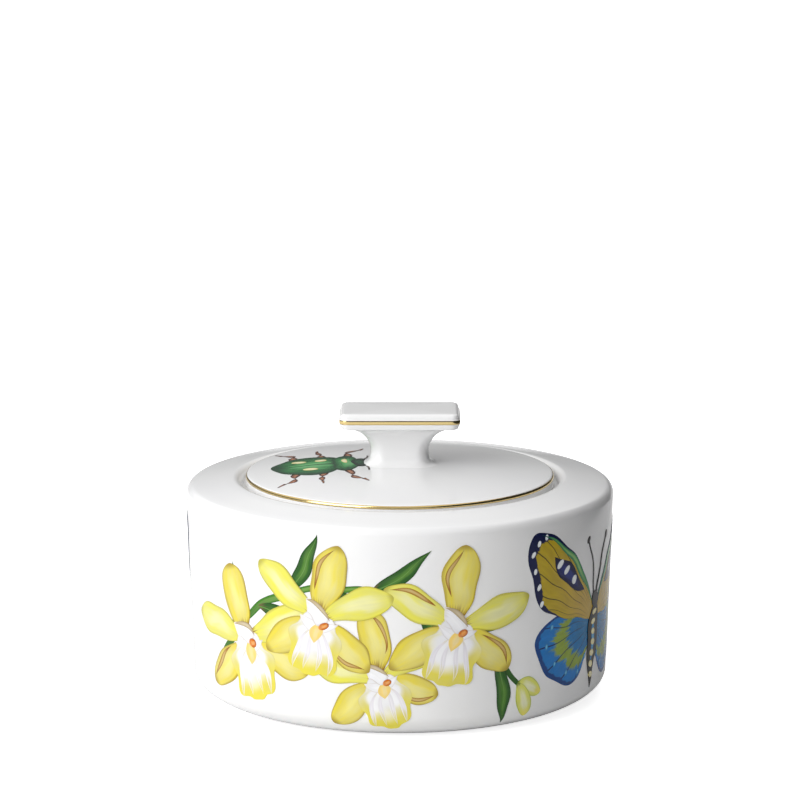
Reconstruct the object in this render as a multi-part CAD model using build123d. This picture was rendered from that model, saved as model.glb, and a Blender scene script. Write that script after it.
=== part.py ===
"""Round porcelain sugar bowl with a drop-in lid, in millimetres, +Z up.

The origin is on the table plane, at the centre of the foot ring. Every round piece is one
section turned about +Z, and the knob is a rounded rectangular block on a waisted neck.
"""
from build123d import *
from build123d.topology import SkipClean
from math import asin, cos, degrees, radians, sin, sqrt
import os

# --- Bowl, outside -------------------------------------------------------------------------
OUTER_R = 55.0  # widest circle, at the shoulder
WALL_LEAN = 1.7  # the wall draws in by this much from the shoulder to the base
BASE_ROLL_R = 12.8  # how far the rounded base reaches in under the wall
BASE_ROLL_H = 6.4  # height at which the rounded base becomes the wall
SHOULDER_Z = 54.5  # corner of wall and shoulder, before it is rounded
SHOULDER_ROUND = 2.4
RIM_Z = 56.7  # corner of shoulder and mouth, before it is rounded
RIM_ROUND = 2.0

# --- Bowl, inside --------------------------------------------------------------------------
WALL_T = 3.0
FLOOR_T = 3.4
FOOT_RECESS = 1.6  # hollow under the base, inside the foot ring
FOOT_RING_W = 3.2  # flat width of the foot ring
INNER_ROLL_R = 11.0  # rounded corner of wall and floor, reach and height
INNER_ROLL_H = 6.0
CEILING_Z = 50.4  # underside of the shoulder at the throat
MOUTH_R = 40.8  # the recess that takes the lid
THROAT_R = 37.0  # the hole through the ledge
LEDGE_Z = 53.7  # the ledge that the lid rests on
LEDGE_OUT_ROUND, LEDGE_IN_ROUND = 0.5, 0.9
THROAT_ROUND = 1.2
CEILING_ROUND = 4.0
RECESS_ROUND = 1.0
FOOT_ROUND = 0.7

# --- Lid -----------------------------------------------------------------------------------
LID_R = 39.6
LID_EDGE_ROUND = 0.9
LID_EDGE_Z = 57.2  # where the dome would meet the lid's side
DOME_RISE = 2.7
LID_T = 3.0
SEAT_GAP = 0.05  # glaze-free seat: the lid stands this far off the ledge
FLANGE_R = 36.0
FLANGE_T = 2.8
FLANGE_H = 5.0
UNDER_ROUND = 1.6  # corner of the dome's underside and the flange
FLANGE_END_ROUND = 1.2
SEAT_ROUND = 0.5
LID_LOW_ROUND = 0.8
GOLD_T = 0.15

# --- Knob ----------------------------------------------------------------------------------
NECK_W, NECK_D, NECK_ROUND = 14.8, 9.0, 3.4
NECK_JOINT_Z = 62.9  # the knob is stuck to the lid's boss on this plane
BOSS_FLARE = 2.6
GRIP_W, GRIP_D, GRIP_ROUND = 30.8, 18.4, 2.2  # widest outline, which carries the gold
GRIP_STEP = 0.2  # the upper block stands back by this much from the gold line
LIP_STEP = 0.45  # the lower lip is this much smaller than the gold line, each side
LIP_Z = 69.9  # the neck flares out from NECK_JOINT_Z to here, on a quarter ellipse
FLARE_STEPS = 4
GOLD_LOW_Z, GOLD_TOP_Z = 71.4, 72.5
KNOB_TOP_Z = 74.0
TOP_EDGE_ROUND = 0.55

# --- Values worked out from the ones above -------------------------------------------------
LOW_WALL_R = OUTER_R - WALL_LEAN
BASE_R = LOW_WALL_R - BASE_ROLL_R
FOOT_IN_R = BASE_R - FOOT_RING_W
FLOOR_Z = FOOT_RECESS + FLOOR_T
INNER_LOW_R = LOW_WALL_R - WALL_T
INNER_TOP_R = OUTER_R - WALL_T
SEAT_Z = LEDGE_Z + SEAT_GAP
DOME_SPHERE_R = (LID_R**2 + DOME_RISE**2) / (2 * DOME_RISE)
DOME_CENTRE_Z = LID_EDGE_Z + DOME_RISE - DOME_SPHERE_R
EDGE_CENTRE_R = LID_R - LID_EDGE_ROUND
EDGE_CENTRE_Z = DOME_CENTRE_Z + sqrt((DOME_SPHERE_R - LID_EDGE_ROUND) ** 2 - EDGE_CENTRE_R**2)
EDGE_END_DEG = 90 - degrees(asin(EDGE_CENTRE_R / (DOME_SPHERE_R - LID_EDGE_ROUND)))


def quarter_roll(centre_r, centre_z, reach, height):
    """The quarter ellipse from straight below its centre up to straight outside it."""
    return EllipticalCenterArc((centre_r, centre_z), reach, height, start_angle=-90, arc_size=90)


def turned(outline, corners):
    """A closed outline drawn as (r, z), with rounded corners, turned about +Z."""
    section = make_face(outline)
    for (r, z), radius in corners:
        corner = section.vertices().sort_by_distance((r, z, 0))[0]
        section = fillet(corner, radius)
    return revolve(Plane.XZ * section, axis=Axis.Z)


def bowl_body():
    """The bowl: foot ring, leaning wall, shoulder, mouth recess and ledge, in one casting."""
    base_roll = quarter_roll(BASE_R, BASE_ROLL_H, BASE_ROLL_R, BASE_ROLL_H)
    inner_roll = quarter_roll(
        INNER_LOW_R - INNER_ROLL_R, FLOOR_Z + INNER_ROLL_H, INNER_ROLL_R, INNER_ROLL_H
    )
    shoulder, rim = (OUTER_R, SHOULDER_Z), (MOUTH_R, RIM_Z)
    ledge_out, ledge_in = (MOUTH_R, LEDGE_Z), (THROAT_R, LEDGE_Z)
    throat, ceiling = (THROAT_R, CEILING_Z), (INNER_TOP_R, CEILING_Z)
    recess = (FOOT_IN_R - FOOT_RECESS, FOOT_RECESS)
    outline = [
        Line((FOOT_IN_R, 0), base_roll @ 0),
        base_roll,
        Polyline(base_roll @ 1, shoulder, rim, ledge_out, ledge_in, throat, ceiling, inner_roll @ 1),
        inner_roll,
        Polyline(inner_roll @ 0, (0, FLOOR_Z), (0, FOOT_RECESS), recess, (FOOT_IN_R, 0)),
    ]
    return turned(
        outline,
        [
            (shoulder, SHOULDER_ROUND),
            (rim, RIM_ROUND),
            (ledge_out, LEDGE_OUT_ROUND),
            (ledge_in, LEDGE_IN_ROUND),
            (throat, THROAT_ROUND),
            (ceiling, CEILING_ROUND),
            (recess, RECESS_ROUND),
            ((FOOT_IN_R, 0), FOOT_ROUND),
        ],
    )


def lid_plate():
    """The lid: domed plate, locating flange below, and the low boss that the knob stands on."""
    edge = CenterArc((EDGE_CENTRE_R, EDGE_CENTRE_Z), LID_EDGE_ROUND, 0, EDGE_END_DEG)
    top = (0, LID_EDGE_Z + DOME_RISE)
    dome = RadiusArc(edge @ 1, top, -DOME_SPHERE_R)
    under_sphere = DOME_SPHERE_R - LID_T
    flange_in = FLANGE_R - FLANGE_T
    under_z = DOME_CENTRE_Z + sqrt(under_sphere**2 - flange_in**2)
    under = RadiusArc((flange_in, under_z), (0, DOME_CENTRE_Z + under_sphere), -under_sphere)
    flange_low = SEAT_Z - FLANGE_H
    outline = [
        edge,
        dome,
        Line(top, under @ 1),
        under,
        Polyline(
            under @ 0,
            (flange_in, flange_low),
            (FLANGE_R, flange_low),
            (FLANGE_R, SEAT_Z),
            (LID_R, SEAT_Z),
            edge @ 0,
        ),
    ]
    plate = turned(
        outline,
        [
            ((flange_in, under_z), UNDER_ROUND),
            ((flange_in, flange_low), FLANGE_END_ROUND),
            ((FLANGE_R, flange_low), FLANGE_END_ROUND),
            ((FLANGE_R, SEAT_Z), SEAT_ROUND),
            ((LID_R, SEAT_Z), LID_LOW_ROUND),
        ],
    )
    boss = plate + rounded_block(NECK_W, NECK_D, NECK_ROUND, LID_EDGE_Z, NECK_JOINT_Z)
    dome_z = LID_EDGE_Z + DOME_RISE

    def where_neck_meets_dome(edge):
        at = edge.center()
        return abs(at.Z - dome_z) < DOME_RISE / 4 and abs(at.X) < NECK_W and abs(at.Y) < NECK_D

    return fillet(boss.edges().filter_by(where_neck_meets_dome), BOSS_FLARE)


def lid_gold_band():
    """The fired gold on the lid's rounded edge, a thin ring on top of the glaze."""
    centre = (EDGE_CENTRE_R, EDGE_CENTRE_Z)
    inner = CenterArc(centre, LID_EDGE_ROUND, 0, EDGE_END_DEG)
    outer = CenterArc(centre, LID_EDGE_ROUND + GOLD_T, 0, EDGE_END_DEG)
    section = make_face([inner, outer, Line(inner @ 0, outer @ 0), Line(inner @ 1, outer @ 1)])
    quarter = revolve(Plane.XZ * section, axis=Axis.Z, revolution_arc=90)
    with SkipClean():  # four equal quarters keep the thin ring's mesh balanced about its axis
        return quarter + [Rot(0, 0, turn) * quarter for turn in (90, 180, 270)]


def rounded_block(width, depth, corner, low_z, top_z):
    """A block with rounded upright corners, from low_z to top_z."""
    return Pos(0, 0, low_z) * extrude(RectangleRounded(width, depth, corner), top_z - low_z)


def flare_section(angle_deg):
    """The neck's outline at an angle up the quarter ellipse from the upright neck to the lip."""
    out, up = 1 - cos(radians(angle_deg)), sin(radians(angle_deg))
    width = NECK_W + (GRIP_W - 2 * LIP_STEP - NECK_W) * out
    depth = NECK_D + (GRIP_D - 2 * LIP_STEP - NECK_D) * out
    corner = NECK_ROUND + (GRIP_ROUND - NECK_ROUND) * out
    z = NECK_JOINT_Z + (LIP_Z - NECK_JOINT_Z) * up
    return Pos(0, 0, z) * RectangleRounded(width, depth, corner)


def lid_knob():
    """The knob: a neck that flares out under a flat rectangular grip with soft edges."""
    stem = loft([flare_section(90 * step / FLARE_STEPS) for step in range(FLARE_STEPS + 1)])
    lip_top = Pos(0, 0, GOLD_LOW_Z) * RectangleRounded(GRIP_W, GRIP_D, GRIP_ROUND)
    lip = loft([flare_section(90), lip_top], ruled=True)
    rim = rounded_block(GRIP_W, GRIP_D, GRIP_ROUND, GOLD_LOW_Z, GOLD_TOP_Z)
    block_w, block_d = GRIP_W - 2 * GRIP_STEP, GRIP_D - 2 * GRIP_STEP
    block = rounded_block(block_w, block_d, GRIP_ROUND - GRIP_STEP, GOLD_TOP_Z, KNOB_TOP_Z)
    block = fillet(block.edges().group_by(Axis.Z)[-1], TOP_EDGE_ROUND)
    return stem + lip + rim + block


def knob_gold_band():
    """The fired gold round the widest part of the grip, a thin rectangular ring."""
    outside = rounded_block(
        GRIP_W + 2 * GOLD_T, GRIP_D + 2 * GOLD_T, GRIP_ROUND + GOLD_T, GOLD_LOW_Z, GOLD_TOP_Z
    )
    return outside - rounded_block(GRIP_W, GRIP_D, GRIP_ROUND, GOLD_LOW_Z, GOLD_TOP_Z)


PIECES = [bowl_body, lid_plate, lid_knob, lid_gold_band, knob_gold_band]

os.makedirs("parts", exist_ok=True)
for make in PIECES:
    solid = make()
    export_step(solid, f"parts/{make.__name__}.step")
    box = solid.bounding_box()
    size = f"{box.size.X:.2f} x {box.size.Y:.2f}, z to {box.max.Z:.2f}"
    print(f"{make.__name__}: {solid.volume / 1000:.2f} cm3, {size}")
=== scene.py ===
# %% [markdown]
# # A porcelain sugar bowl with a printed spray of orchids
# The bowl, its lid and its knob are turned and moulded porcelain under one glossy glaze. Gold lines
# are fired on top, and the flowers and insects are printed in ceramic colours. This lesson loads the
# measured frame, lays fine glazed skins over it, paints the decor as thin patches that follow the
# curved wall, and lights it like a piece of tableware in a bright studio.

# %% Load the frame
from math import comb, cos, pi, radians, sin

import bpy
import numpy as np
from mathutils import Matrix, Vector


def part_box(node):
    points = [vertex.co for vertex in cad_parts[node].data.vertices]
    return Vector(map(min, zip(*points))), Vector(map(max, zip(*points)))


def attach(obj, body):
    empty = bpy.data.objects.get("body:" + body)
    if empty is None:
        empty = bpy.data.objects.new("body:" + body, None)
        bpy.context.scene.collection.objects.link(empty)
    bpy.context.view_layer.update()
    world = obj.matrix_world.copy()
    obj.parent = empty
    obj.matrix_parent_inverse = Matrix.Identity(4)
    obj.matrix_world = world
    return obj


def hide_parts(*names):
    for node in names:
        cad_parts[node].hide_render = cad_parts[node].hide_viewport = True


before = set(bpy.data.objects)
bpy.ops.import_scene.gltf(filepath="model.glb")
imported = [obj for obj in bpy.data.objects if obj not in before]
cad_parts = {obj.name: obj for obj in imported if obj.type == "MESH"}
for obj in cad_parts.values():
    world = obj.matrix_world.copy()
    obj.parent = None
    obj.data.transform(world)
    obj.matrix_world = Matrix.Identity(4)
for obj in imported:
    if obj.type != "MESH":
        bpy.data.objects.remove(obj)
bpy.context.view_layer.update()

# %% [markdown]
# ## Sizes
# The overall sizes come from the frame, so the skins always fit it. The rest are the potter's own
# measures in millimetres: how the base rolls under, where the shoulder breaks, how the lid sits.
# They could be typed where they are used, but then the lid and its seat would soon disagree.

# %% Sizes, in millimetres
MM = 0.001
bowl_high, lid_high = (np.array(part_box(node)[1]) / MM for node in ("bowl_body", "lid_plate"))
knob_low, knob_high = (np.array(corner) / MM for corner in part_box("lid_knob"))
gold_low, gold_high = (np.array(corner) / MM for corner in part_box("knob_gold_band"))

SHOULDER_R = 55.0
WALL_FOOT_R = 53.3
BASE_ROLL = (12.8, 6.4)  # reach and height of the rounded base
SHOULDER_Z, RIM_Z = 54.5, 56.7
MOUTH_R, THROAT_R = 40.8, 37.0
LEDGE_Z, CEILING_Z = 53.7, 50.4
INSIDE_R = (50.3, 52.0)  # inner wall, low and high
FLOOR_Z = 5.0
INNER_ROLL = (11.0, 6.0)
FOOT_IN_R, FOOT_RECESS = 37.3, 1.6
BASE_STEPS, CORNER_STEPS = 22, 10  # points on the base's curve and on each rounded corner

LID_R = lid_high[0]
LID_EDGE_Z, DOME_RISE, LID_T = 57.2, 2.7, 3.0
LID_EDGE_ROUND = 0.9
DOME_R = (LID_R**2 + DOME_RISE**2) / (2 * DOME_RISE)
DOME_CENTRE_Z = LID_EDGE_Z + DOME_RISE - DOME_R
SEAT_Z = LEDGE_Z + 0.05
FLANGE_R, FLANGE_T, FLANGE_H = 36.0, 2.8, 5.0
print(f"bowl {bowl_high[0] * 2:.1f} mm across, lid {LID_R * 2:.1f} mm, knob top at {knob_high[2]:.1f} mm")

# %% [markdown]
# ## Turning an array into a mesh
# Every piece below ends as arrays of points and faces. Blender's operators could build them step by
# step, but arrays are quicker and always give the same mesh. One helper makes the mesh, keeps creases
# sharp and curves smooth, and fastens the piece to the body that it moves with.


# %% Mesh helper
def make_piece(name, points, faces, materials, body, replaces=(), uv=None, tint=None, paint=None):
    """A mesh from points in mm and a list of face arrays. uv and tint are per point, paint per face."""
    mesh = bpy.data.meshes.new(name)
    flat = [row for block in faces for row in block.tolist()]
    mesh.from_pydata((points * MM).tolist(), [], flat)
    for material in materials:
        mesh.materials.append(material)
    if paint is not None:
        mesh.polygons.foreach_set("material_index", paint.astype(np.int32))
    corners = np.empty(len(mesh.loops), np.int32)
    mesh.loops.foreach_get("vertex_index", corners)
    if uv is not None:
        layer = mesh.uv_layers.new(name="Brush")
        layer.data.foreach_set("uv", uv[corners].astype(np.float32).ravel())
    if tint is not None:
        layer = mesh.attributes.new("tint", "FLOAT", "POINT")
        layer.data.foreach_set("value", tint.astype(np.float32))
    mesh.polygons.foreach_set("use_smooth", np.ones(len(mesh.polygons), bool))
    mesh.set_sharp_from_angle(angle=radians(50))
    mesh.update()
    piece = bpy.data.objects.new(name, mesh)
    bpy.context.scene.collection.objects.link(piece)
    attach(piece, body)
    if replaces:
        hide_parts(*replaces)
    print(f"{name}: {len(points)} points, {len(flat)} faces")
    return piece


# %% [markdown]
# ## Nodes in fewer words
# Shader trees read better when a node is one call. A value in `inputs` is either a number, a colour
# or another node's socket, and the helper sets or links it.


# %% Node helpers
def add(tree, kind, inputs=None, **settings):
    """One node with its settings, and each input set to a value or linked to a socket."""
    node = tree.nodes.new(kind)
    for key, value in settings.items():
        setattr(node, key, value)
    for key, value in (inputs or {}).items():
        if isinstance(value, bpy.types.NodeSocket):
            tree.links.new(value, node.inputs[key])
        else:
            node.inputs[key].default_value = value
    return node


def maths(tree, operation, first, second=0.0):
    """first (operation) second, clamped nowhere."""
    return add(tree, "ShaderNodeMath", {0: first, 1: second}, operation=operation).outputs[0]


def smooth(tree, value, low, high):
    """0 below low, 1 above high, and a smooth step between them."""
    ends = {"Value": value, "From Min": low, "From Max": high}
    return add(tree, "ShaderNodeMapRange", ends, interpolation_type="SMOOTHSTEP").outputs[0]


def mixed(tree, share, first, second):
    """The first colour, turning into the second as share goes from 0 to 1."""
    return add(tree, "ShaderNodeMix", {0: share, 6: first, 7: second}, data_type="RGBA").outputs[2]


def noise(tree, vector, scale, detail=2.0):
    """Noise values about 0.5 at a vector."""
    ends = {"Vector": vector, "Scale": scale, "Detail": detail}
    return add(tree, "ShaderNodeTexNoise", ends).outputs["Fac"]


def colour(red, green, blue):
    """A display colour, 0 to 255, as the linear colour that nodes use."""
    part = np.array([red, green, blue]) / 255
    linear = np.where(part <= 0.04045, part / 12.92, ((part + 0.055) / 1.055) ** 2.4)
    return (*linear.tolist(), 1.0)


def new_group(name, inputs, outputs):
    """An empty shader group with named sockets, and its input and output nodes."""
    tree = bpy.data.node_groups.new(name, "ShaderNodeTree")
    for side, sockets in (("INPUT", inputs), ("OUTPUT", outputs)):
        for label, kind in sockets:
            tree.interface.new_socket(name=label, in_out=side, socket_type=f"NodeSocket{kind}")
    return tree, tree.nodes.new("NodeGroupInput"), tree.nodes.new("NodeGroupOutput")


# %% [markdown]
# ## The glaze, shared by everything under it
# Glaze is poured on and melts, so it is never quite flat: it has long shallow waves and, close up,
# a faint orange-peel. A perfect gloss would be simpler, but it looks like plastic. White porcelain and
# printed colours share the glaze, so both use this one group, and a reflection keeps its ripple as it
# passes from the white to a petal.


# %% Glaze group
def build_glaze():
    """Height = long waves + a little orange-peel; Roughness = a polished value with faint clouds."""
    tree, _, out = new_group("Glaze skin", [], [("Height", "Float"), ("Roughness", "Float")])
    place = add(tree, "ShaderNodeTexCoord").outputs["Object"]
    waves = noise(tree, place, 75.0, 1.0)
    peel = maths(tree, "MULTIPLY", noise(tree, place, 520.0, 1.0), 0.10)
    tree.links.new(maths(tree, "ADD", waves, peel), out.inputs["Height"])
    clouds = maths(tree, "MULTIPLY", noise(tree, place, 130.0, 3.0), 0.05)
    tree.links.new(maths(tree, "ADD", clouds, 0.085), out.inputs["Roughness"])
    return tree


GLAZE = build_glaze()
GLAZE_DEPTH = 0.00006  # metres from trough to crest
PRINT_GLOSS = 0.22  # fired colours shine less than bare glaze, which has 0.5


def glazed(name, base_colour=None, gloss=0.5):
    """A glossy glazed ceramic material and its Principled node. The colour may be linked later."""
    material = bpy.data.materials.new(name)
    material.use_nodes = True
    tree = material.node_tree
    shader = tree.nodes["Principled BSDF"]
    skin = add(tree, "ShaderNodeGroup", node_tree=GLAZE)
    ends = {"Height": skin.outputs["Height"], "Distance": GLAZE_DEPTH, "Strength": 0.35}
    bump = add(tree, "ShaderNodeBump", ends)
    tree.links.new(bump.outputs["Normal"], shader.inputs["Normal"])
    tree.links.new(skin.outputs["Roughness"], shader.inputs["Roughness"])
    shader.inputs["IOR"].default_value = 1.52
    shader.inputs["Specular IOR Level"].default_value = gloss
    if base_colour:
        shader.inputs["Base Color"].default_value = base_colour
    return material, tree, shader, skin


# %% [markdown]
# ## White porcelain, with its bare foot
# The body is a slightly warm white. Where the bowl stands in the kiln, and where the lid is fired on
# its seat, there can be no glaze, or it would stick. There the clay is matt and a little creamier.
# Separate faces could carry it, but a mask by height and radius gives the same edge with no seam.


# %% Porcelain
def build_porcelain(name, bare_low, bare_high, bare_r):
    """Glazed white, but bare clay between two heights and outside a radius, all in mm."""
    material, tree, shader, skin = glazed(name)
    place = add(tree, "ShaderNodeTexCoord").outputs["Object"]
    axes = add(tree, "ShaderNodeSeparateXYZ", {0: place})
    ring = maths(tree, "SQRT", maths(
        tree, "ADD", maths(tree, "POWER", axes.outputs[0], 2.0), maths(tree, "POWER", axes.outputs[1], 2.0)
    ))
    edge = 0.06
    above = smooth(tree, axes.outputs[2], (bare_low - edge) * MM, (bare_low + edge) * MM)
    below = smooth(tree, axes.outputs[2], (bare_high + edge) * MM, (bare_high - edge) * MM)
    outside = smooth(tree, ring, (bare_r - edge) * MM, (bare_r + edge) * MM)
    bare = maths(tree, "MULTIPLY", maths(tree, "MULTIPLY", above, below), outside)
    cloud = smooth(tree, noise(tree, place, 38.0, 3.0), 0.35, 0.7)
    white = mixed(tree, cloud, colour(242, 242, 242), colour(240, 240, 241))
    clay = mixed(tree, noise(tree, place, 900.0, 4.0), colour(226, 220, 208), colour(208, 201, 188))
    tree.links.new(mixed(tree, bare, white, clay), shader.inputs["Base Color"])
    matt = maths(tree, "MULTIPLY", bare, 0.5)
    rough = maths(tree, "ADD", skin.outputs["Roughness"], matt)
    tree.links.new(rough, shader.inputs["Roughness"])
    return material


BOWL_WHITE = build_porcelain("Bowl porcelain", -1.0, 0.4, 36.0)
LID_WHITE = build_porcelain("Lid porcelain", SEAT_Z - 0.3, SEAT_Z + 0.4, 36.4)
KNOB_WHITE = glazed("Knob porcelain", colour(243, 243, 243))[0]

# %% [markdown]
# ## Fired gold
# Liquid bright gold is brushed on a turning wheel, so it carries very fine lines round the piece and
# is a little thinner and browner at its edges. One noise, stretched along the line, makes the brush
# marks in both colour and roughness, because metal shows a scratch mostly by its gloss.


# %% Gold
def build_gold():
    """Polished metal whose colour and gloss vary in streaks; across runs over the line's width."""
    material = bpy.data.materials.new("Fired gold")
    material.use_nodes = True
    tree = material.node_tree
    shader = tree.nodes["Principled BSDF"]
    shader.inputs["Metallic"].default_value = 1.0
    brush = add(tree, "ShaderNodeUVMap", uv_map="Brush").outputs[0]
    parts = add(tree, "ShaderNodeSeparateXYZ", {0: brush})
    streaks = add(tree, "ShaderNodeMapping", {0: brush, "Scale": (30.0, 9.0, 1.0)}).outputs[0]
    streak = noise(tree, streaks, 1.0, 4.0)
    off_centre = maths(tree, "ABSOLUTE", maths(tree, "SUBTRACT", parts.outputs[1], 0.5))
    thin = smooth(tree, off_centre, 0.36, 0.5)
    bright = mixed(tree, streak, colour(222, 194, 128), colour(238, 216, 156))
    tree.links.new(mixed(tree, thin, bright, colour(150, 116, 60)), shader.inputs["Base Color"])
    rough = maths(tree, "ADD", maths(tree, "MULTIPLY", streak, 0.14), 0.05)
    tree.links.new(rough, shader.inputs["Roughness"])
    return material


GOLD = build_gold()

# %% [markdown]
# ## Turned shapes
# A pot is a section turned about its axis. The section is drawn as corners, each with its own
# radius, and the corners are worked out as arcs, the way a potter's profile tool is cut. A Screw
# modifier could turn it too, but rings worked out here close on themselves with no doubled seam.


# %% Sections
def rounded(corners, steps=CORNER_STEPS):
    """Corners (x, z, radius) joined by straight runs, each corner replaced by its tangent arc.

    The arc's centre lies on the bisector, at radius / sin(half the angle between the two runs),
    and the arc is swept between the two tangent points.
    """
    path = [np.array([corners[0][:2]])]
    for before, (x, z, radius), after in zip(corners, corners[1:], corners[2:]):
        at = np.array([x, z])
        back = np.array(before[:2]) - at
        ahead = np.array(after[:2]) - at
        back, ahead = back / np.hypot(*back), ahead / np.hypot(*ahead)
        half = np.arccos(np.clip(back @ ahead, -1, 1)) / 2
        bisector = (back + ahead) / np.hypot(*(back + ahead))
        centre = at + bisector * radius / np.sin(half)
        start = np.arctan2(*(at + back * radius / np.tan(half) - centre)[::-1])
        turn = np.arctan2(*(at + ahead * radius / np.tan(half) - centre)[::-1]) - start
        turn = (turn + pi) % (2 * pi) - pi
        angle = start + turn * np.linspace(0, 1, steps)
        path.append(centre + radius * np.stack([np.cos(angle), np.sin(angle)], 1))
    path.append(np.array([corners[-1][:2]]))
    return np.concatenate(path)


def ellipse_arc(centre, reach, start, end, steps=16):
    """Points centre + (reach_x cos, reach_z sin) for angles from start to end, in degrees."""
    angle = np.radians(np.linspace(start, end, steps))
    return np.array(centre) + np.array(reach) * np.stack([np.cos(angle), np.sin(angle)], 1)


def spaced(path, longest):
    """The same section with its long straight runs divided, so that no run is over longest."""
    runs = np.hypot(*np.diff(path, axis=0).T)
    path = path[np.concatenate([[True], runs > 1e-6])]
    runs = runs[runs > 1e-6]
    length = np.concatenate([[0], np.cumsum(runs)])
    extra = [np.linspace(a, b, int(np.ceil((b - a) / longest)) + 1)[:-1] for a, b in zip(length, length[1:])]
    at = np.append(np.concatenate(extra), length[-1])
    return np.stack([np.interp(at, length, path[:, k]) for k in (0, 1)], 1)


def close_rings(rings, first_pole, last_pole):
    """A closed skin from rings of points, as (rows, n, 3): quads between neighbouring rings, and a
    fan of triangles from the first and the last ring to a pole.
    """
    rows, count = rings.shape[:2]
    points = np.concatenate([rings.reshape(-1, 3), [first_pole, last_pole]])
    grid = np.arange(rows * count).reshape(rows, count)
    side = np.roll(grid, -1, axis=1)
    quads = np.stack([grid[:-1], side[:-1], side[1:], grid[1:]], 2).reshape(-1, 4)
    first_fan = np.stack([np.full(count, rows * count), side[0], grid[0]], 1)
    last_fan = np.stack([np.full(count, rows * count + 1), grid[-1], side[-1]], 1)
    return points, [quads, first_fan, last_fan]


SEGMENTS = 288


def turn(section):
    """A section turned about the axis: point (r, z) goes to (r cos a, r sin a, z). Both ends of the
    section lie on the axis and become the poles. The outside is on the section's right.
    """
    angle = np.linspace(0, 2 * pi, SEGMENTS, endpoint=False)
    r, z = section[1:-1, :1], section[1:-1, 1:]
    rings = np.stack([r * np.cos(angle), r * np.sin(angle), np.repeat(z, SEGMENTS, axis=1)], 2)
    return close_rings(rings, (0, 0, section[0, 1]), (0, 0, section[-1, 1]))


# %% [markdown]
# ## The bowl
# One casting, from the middle of its underside, over the foot ring, up the leaning wall, across the
# sloping shoulder, down into the mouth with the ledge for the lid, and back along the inside. It
# could be an outer and an inner shell, but one skin keeps the glaze unbroken over the mouth's rim.


# %% Bowl
base_r = WALL_FOOT_R - BASE_ROLL[0]
OUTSIDE = np.concatenate([
    ellipse_arc((base_r, BASE_ROLL[1]), BASE_ROLL, -90, 0, BASE_STEPS),
    rounded([
        (WALL_FOOT_R, BASE_ROLL[1]),
        (SHOULDER_R, SHOULDER_Z, 2.4),
        (MOUTH_R, RIM_Z, 2.0),
        (MOUTH_R, LEDGE_Z, 0.5),
        (THROAT_R, LEDGE_Z, 0.9),
        (THROAT_R, CEILING_Z, 1.2),
        (INSIDE_R[1], CEILING_Z, 4.0),
        (INSIDE_R[0], FLOOR_Z + INNER_ROLL[1]),
    ])[1:],
])
bowl_section = np.concatenate([
    rounded([
        (0, FOOT_RECESS),
        (FOOT_IN_R - FOOT_RECESS, FOOT_RECESS, 1.0),
        (FOOT_IN_R, 0, 0.7),
        (base_r, 0),
    ])[:-1],
    OUTSIDE,
    ellipse_arc((INSIDE_R[0] - INNER_ROLL[0], FLOOR_Z + INNER_ROLL[1]), INNER_ROLL, 0, -90),
    [(0, FLOOR_Z)],
])
points, faces = turn(spaced(bowl_section, 2.5))
make_piece("bowl_skin", points, faces, [BOWL_WHITE], "bowl", ["bowl_body"])


# %% [markdown]
# ## The lid
# The lid's top is a shallow dome. Under it a flange drops into the throat and keeps the lid central.
# The dome is a piece of a sphere, not a spline, so that the knob's foot and the beetle can be set on
# it by the same formula.


# %% Lid plate
def dome_z(r, thickness=0.0):
    """Height of the dome, or of its underside, at a radius: a sphere about a point on the axis."""
    return DOME_CENTRE_Z + np.sqrt((DOME_R - thickness) ** 2 - r**2)


def arc_on_dome(radii, thickness=0.0):
    """Section points that follow the dome at the given radii."""
    return np.stack([radii, dome_z(radii, thickness)], 1)


EDGE_R = LID_R - LID_EDGE_ROUND
EDGE_Z = DOME_CENTRE_Z + np.sqrt((DOME_R - LID_EDGE_ROUND) ** 2 - EDGE_R**2)
EDGE_END = 90 - np.degrees(np.arcsin(EDGE_R / (DOME_R - LID_EDGE_ROUND)))
flange_in = FLANGE_R - FLANGE_T
under = arc_on_dome(np.linspace(0, flange_in - 2.5, 12), LID_T)
lid_section = np.concatenate([
    under,
    rounded([
        tuple(under[-1]),
        (flange_in, dome_z(flange_in, LID_T), 1.6),
        (flange_in, SEAT_Z - FLANGE_H, 1.2),
        (FLANGE_R, SEAT_Z - FLANGE_H, 1.2),
        (FLANGE_R, SEAT_Z, 0.5),
        (LID_R, SEAT_Z, 0.8),
        (LID_R, EDGE_Z),
    ])[1:-1],
    ellipse_arc((EDGE_R, EDGE_Z), (LID_EDGE_ROUND, LID_EDGE_ROUND), 0, EDGE_END, 10),
    arc_on_dome(np.linspace(EDGE_R, 0, 30)[1:]),
])
points, faces = turn(spaced(lid_section, 2.5))
make_piece("lid_plate_skin", points, faces, [LID_WHITE], "lid", ["lid_plate"])

# %% [markdown]
# ## The knob
# Every level of the knob is a rectangle with round corners. A bevelled block could come close, but
# the neck's corners grow tighter as it widens into the grip. So a profile says how wide, deep and
# round each level is, and the knob is one sheet of points: levels one way, outline the other.

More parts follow.
